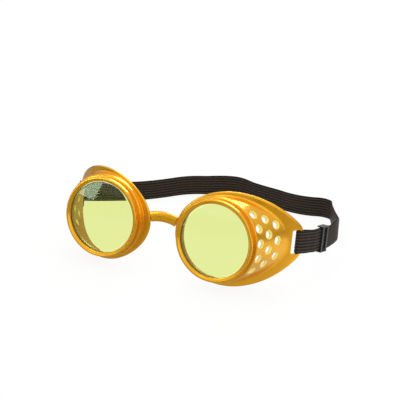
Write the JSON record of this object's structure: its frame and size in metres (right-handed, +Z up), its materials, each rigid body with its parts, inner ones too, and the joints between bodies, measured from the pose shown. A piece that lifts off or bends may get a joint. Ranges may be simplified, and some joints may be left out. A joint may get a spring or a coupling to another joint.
{
  "type": "round-lens goggles",
  "caption": "Steampunk-style goggles: round clear lenses under screw-on rings, flared vented eyecups with a face flange, a nose bridge and an elastic head strap with a slider.",
  "frame": {"origin": "on the table under the middle of the bounding box", "axes": "+Z up, +X towards the wearer's left eye, -Y the way the wearer looks"},
  "size_m": [0.1911, 0.1526, 0.0617],
  "materials": {
    "gold_plastic": "glossy metallic gold paint on moulded plastic",
    "clear_lens": "clear polished plastic with a faint yellow cast",
    "seal_rubber": "matte amber-brown silicone rubber",
    "elastic_webbing": "ribbed knitted elastic",
    "black_plastic": "glossy moulded plastic"
  },
  "bodies": {
    "frame": {"left_eyecup": "gold_plastic", "right_eyecup": "gold_plastic", "nose_bridge": "gold_plastic", "head_strap": "elastic_webbing", "strap_stitching": "elastic_webbing"},
    "left_lens_unit": {"left_lens": "clear_lens", "left_lens_seal": "seal_rubber"},
    "right_lens_unit": {"right_lens": "clear_lens", "right_lens_seal": "seal_rubber"},
    "left_ring": {"left_retaining_ring": "gold_plastic"},
    "right_ring": {"right_retaining_ring": "gold_plastic"},
    "slider": {"strap_slider": "black_plastic"}
  },
  "joints": [
    {"name": "left_lens_out", "type": "slide", "parent": "frame", "child": "left_lens_unit", "axis": [0, -0.9781, 0.2079], "range_m": [0, 0.003]},
    {"name": "left_ring_unscrew", "type": "hinge", "parent": "left_lens_unit", "child": "left_ring", "pos_m": [0.0415, -0.06858, 0.03331], "axis": [0, -0.9781, 0.2079], "range_deg": [0, 360]},
    {"name": "right_lens_out", "type": "slide", "parent": "frame", "child": "right_lens_unit", "axis": [0, -0.9781, 0.2079], "range_m": [0, 0.003]},
    {"name": "right_ring_unscrew", "type": "hinge", "parent": "right_lens_unit", "child": "right_ring", "pos_m": [-0.0415, -0.06858, 0.03331], "axis": [0, -0.9781, 0.2079], "range_deg": [0, 360]},
    {"name": "slider_along_strap", "type": "slide", "parent": "frame", "child": "slider", "axis": [0.1639, 0.9644, -0.2076], "range_m": [-0.0035, 0.0035]}
  ],
  "couplings": [
    {"joint": "left_lens_out", "follows": "left_ring_unscrew", "m_per_rad": 0.00047746},
    {"joint": "right_lens_out", "follows": "right_ring_unscrew", "m_per_rad": 0.00047746}
  ]
}
